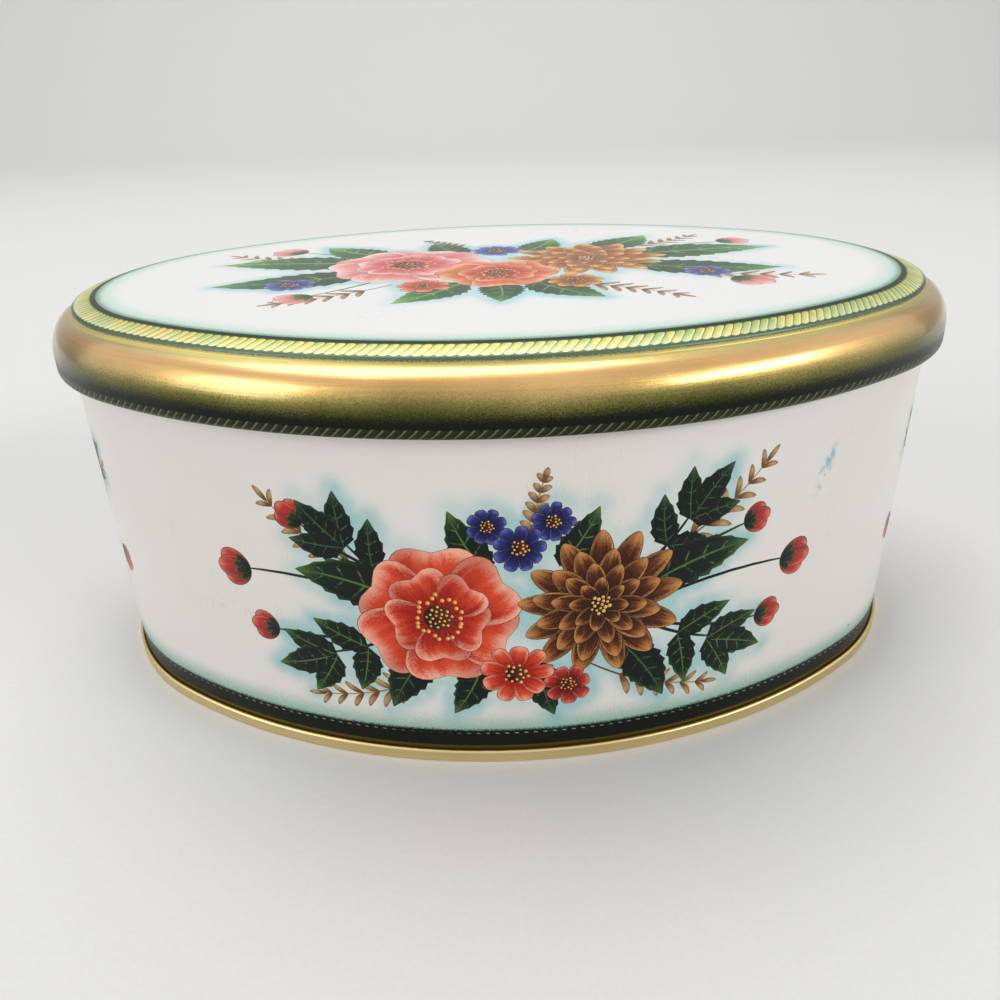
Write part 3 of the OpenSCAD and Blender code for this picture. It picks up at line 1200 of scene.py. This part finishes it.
# The gilt shoulder, sprayed green below and at its top. The dark green low on the shoulder is partly print
# and partly painted shade: a painted dark reflection where the shoulder turns down and under
sprayed_run = lid_run + (fine_grain - 0.5) * 3.5 + (lid_cloud - 0.5) * 4
edge_run = lid_run + (fine_grain - 0.5) * 3
low_tint = 1 - rise(sprayed_run, skirt_from + 4.0, low_to + 2.6)
# painted shade: the dark spray low on the shoulder also stands in for the dark reflection there
low_shade = 1 - rise(sprayed_run, skirt_from + 2.2, low_to - 0.4)
edge_shade = 1 - rise(edge_run, skirt_from + 1.6, skirt_from + 4.0)
top_glow = rise(edge_run, shoulder_to - 3.2, shoulder_to + 0.2)
foot_line = rise(lid_run + (fine_grain - 0.5) * 0.9, groove_to + 0.05, groove_to + 0.65)

# The upper rope on the border, which leans more towards the right end, and the line above it
upper_pitch = 2.1
upper_shift = -0.15
upper_lean = (lid_way * (math.pi / half_way)).sine() * -0.8 - 1.12
upper_strand, upper_turn, upper_across = rope(
    lid_way, lid_run, edge_to + upper_shift, border_to + upper_shift, upper_pitch, upper_lean
)
strand_hue = lid_tree.noise(lid_tree.vector(lid_way * 0.3, 0.5, 7.0), 1.0, 2.0)
strand_green = over(upper_across, (216, 226, 178), (164, 186, 92))
strand_yellow = over(upper_across, (240, 232, 172), (214, 198, 84))
strand_tone = laid(
    over(rise(strand_hue, 0.42, 0.6), strand_green, strand_yellow),
    ((1 - rise(upper_turn, 0.1, 0.5)) * 0.4, (150, 160, 56)),
    (rise(upper_turn, 0.6, 0.86) * 0.5, (244, 242, 196)),
)
line_mask = band(lid_run, border_to - 0.1, border_to + 1.05, 0.12)

# The panel, white with a mint glow inside the line
panel_mask = rise(lid_run, border_to + 0.95, border_to + 1.15)
panel_glow = 1 - rise(lid_run + (lid_grain - 0.5) * 2, border_to + 0.5, border_to + 7.5)
line_fade = 1 - rise(lid_run + (lid_grain - 0.5) * 1.6, border_to + 0.7, border_to + 2.9)
panel_colour = laid(
    (243, 242, 240),
    (panel_glow * 0.8, (172, 222, 200)),
    (line_fade * 0.85, (70, 100, 76)),
    (halo(lid_tree, lid_grain, lid_cloud) * 0.8, (150, 214, 222)),
    flower_inks(lid_tree, lid_grain),
)

# The lower rope on the roll
lower_pitch = 2.0
lower_strand, lower_turn, _ = rope(lid_way, lid_run, skirt_from - 1.5, skirt_from + 0.9, lower_pitch, -1.1)
strand_light = (1 - rise((lower_turn - 0.3).size(), 0.05, 0.14)) * lower_strand

metal_part = (1 - panel_mask) * (1 - line_mask * 0.6) * (1 - upper_strand * 0.3)
matt_part = rise(lid_run, shoulder_to - 0.9, shoulder_to) * (1 - panel_mask)
gloss = 0.24 + lid_cloud * 0.1 + (brushed - 0.5) * 0.14 * metal_part
feed(
    lid_shader,
    base_color=laid(
        over((brushed - 0.5) * 0.6 + lid_cloud, (208, 154, 86), (242, 199, 133)),
        (low_tint * 0.75, (106, 119, 32)),
        # painted shade, partly print: the dark green low on the shoulder
        (low_shade * 0.95, (45, 56, 12)),
        (edge_shade, (12, 18, 10)),
        (top_glow * 0.55, (174, 190, 116)),
        (foot_line, (88, 106, 84)),
        (upper_strand, strand_tone),
        (line_mask, (34, 52, 30)),
        (panel_mask, panel_colour),
        (lower_strand, (40, 46, 24)),
        (strand_light * 0.85, (114, 116, 84)),
    ),
    metallic=metal_part,
    roughness=gloss + edge_shade * 0.15 + matt_part * 0.2,
    coat_weight=metal_part * (0.8 - low_shade * 0.6) * (1 - matt_part * 0.7) + 0.08,
    coat_roughness=0.12,
    specular_ior_level=0.15,
    normal=(lid_cloud + brushed * 0.15).bump(metal_part * 0.6, 0.5 * mm),
)
thicken(lid, lambda face: face.normal.z, lid_ink, bare_tin)

lid_pink = shades((206, 74, 78), (242, 158, 150), (255, 230, 222), dark_red)
lid_amber = shades((140, 66, 12), (222, 142, 36), (250, 206, 110), dark_brown)
lid_coral = shades((180, 54, 26), (234, 112, 60), (252, 196, 150), dark_red)
lid_blue = shades((36, 36, 104), (84, 90, 168), (160, 168, 222), dark_blue)
lid_leaf = shades((16, 78, 30), (60, 146, 60), (176, 208, 116))
lid_fern = shades((12, 62, 30), (36, 112, 52), (140, 180, 96))
garland = Spray(37)
for sprig in (
    ((-38, 14), 160, 34, 0.07), ((40, -10), -20, 34, -0.06), ((-24, -16), 212, 30, 0.06),
    ((32, 18), 32, 30, -0.05), ((14, -20), -34, 30, 0.05), ((-6, 24), 128, 20, -0.05),
):
    garland.sprig(*sprig)
for bud in (
    ((-32, 14), 146, 25, 10.0, -0.06), ((34, -8), -34, 25, 10.0, 0.05),
    ((36, 14), 19, 29, 9.0, 0.05), ((-26, -8), 226, 24, 9.0, 0.05),
):
    garland.bud(*bud, lid_pink, lid_fern)
for leaf in (
    ((-34, 9), 173, 38, 9.0, -0.05, lid_leaf), ((-32, -3), 195, 37, 8.6, 0.05, lid_fern),
    ((-28, 18), 138, 25, 7.4, 0.05, lid_leaf), ((36, 9), 7, 38, 9.0, 0.05, lid_leaf),
    ((34, -3), -15, 36, 8.6, -0.05, lid_fern), ((28, 20), 46, 24, 7.4, -0.05, lid_leaf),
    ((-8, -17), 230, 24, 6.6, 0.05, lid_leaf), ((8, -17), -52, 24, 6.6, -0.05, lid_fern),
    ((0, -18), 270, 19, 5.6, 0.04, lid_fern), ((-8, 18), 114, 20, 6.0, 0.05, lid_fern),
    ((9, 19), 64, 20, 6.0, -0.05, lid_leaf),
):
    garland.leaf(*leaf, teeth=9)
garland.daisy((1, 21.5), 7.0, lid_blue, 9, 5)
garland.daisy((-49, -13), 6.2, lid_blue, 8, 25)
garland.daisy((50, -14), 5.6, lid_blue, 8, 5)
garland.wild_rose((-22, 6), 20.0, lid_pink, 80)
garland.dahlia((24, 7), 20.5, lid_amber, 3)
garland.wild_rose((0.5, -7.5), 15.0, lid_coral, 30)
garland.daisy((18, -19), 6.8, lid_amber, 8, 12)
garland.daisy((-17, -19), 6.2, lid_coral, 7, 20)

lid_panel = max(lid.data.polygons, key=lambda face: face.area * face.normal.z)
lid_level = lid_panel.center.z
lid_rim = [lid.data.vertices[vertex].co.xy / mm for vertex in lid_panel.vertices]
lid_rim.sort(key=lambda corner: math.atan2(corner.y, corner.x))
lid_edge = [v.co / mm for v in lid.data.vertices if abs(v.co.z - lid_level) < top_ease / 10]
cut_away(lid, {lid_panel.index})
lay_print(
    lid,
    garland.stamped(-1, 0),
    lid_rim,
    [],
    lambda x, y: (x * mm, y * mm, lid_level),
    lambda x, y: (0.0, lid_runs[-1] / mm),
    lid_ink,
)
smooth_print(
    lid,
    lambda face: face.center.z > lid_level - top_ease and face.material_index == 0,
    lambda corner: Vector((0, 0, 1)),
)

# Where the lid's parts lie on the square, in its pixels: left, low, right and high
lid_layout = {
    "panel": (4, 4, 964, 640), "panel_inside": (640, 900, 820, 1018), "front": (4, 646, 1018, 768),
    "left": (4, 774, 500, 896), "right": (508, 774, 1018, 896), "inside": (4, 902, 630, 1002),
    "edge": (4, 1008, 630, 1018),
}
panel_long = max(abs(corner.x) for corner in lid_edge)
panel_wide = max(abs(corner.y) for corner in lid_edge)


def lid_patch(face):
    """The part of the lid's layout that a face lies on."""
    corners = flat_corners(lid, face)
    way, run = middle(corners)
    inside = face.material_index == 1
    if run > panel_from:
        corners = [tuple(lid.data.vertices[vertex].co.xy / mm) for vertex in face.vertices]
        place = lid_layout["panel_inside" if inside else "panel"]
        return corners, (-panel_long, -panel_wide, panel_long, panel_wide), place
    if run < no_width:
        return cut_edge(corners), (-half_way, 0, back_end, 1), lid_layout["edge"]
    name, left, right = side_part(way, inside, half_way / 2, back_end)
    return corners, (left, 0, right, panel_from), lid_layout[name]


lay_bake_map(lid, lid_patch)
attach(lid, "lid")
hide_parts("lid")
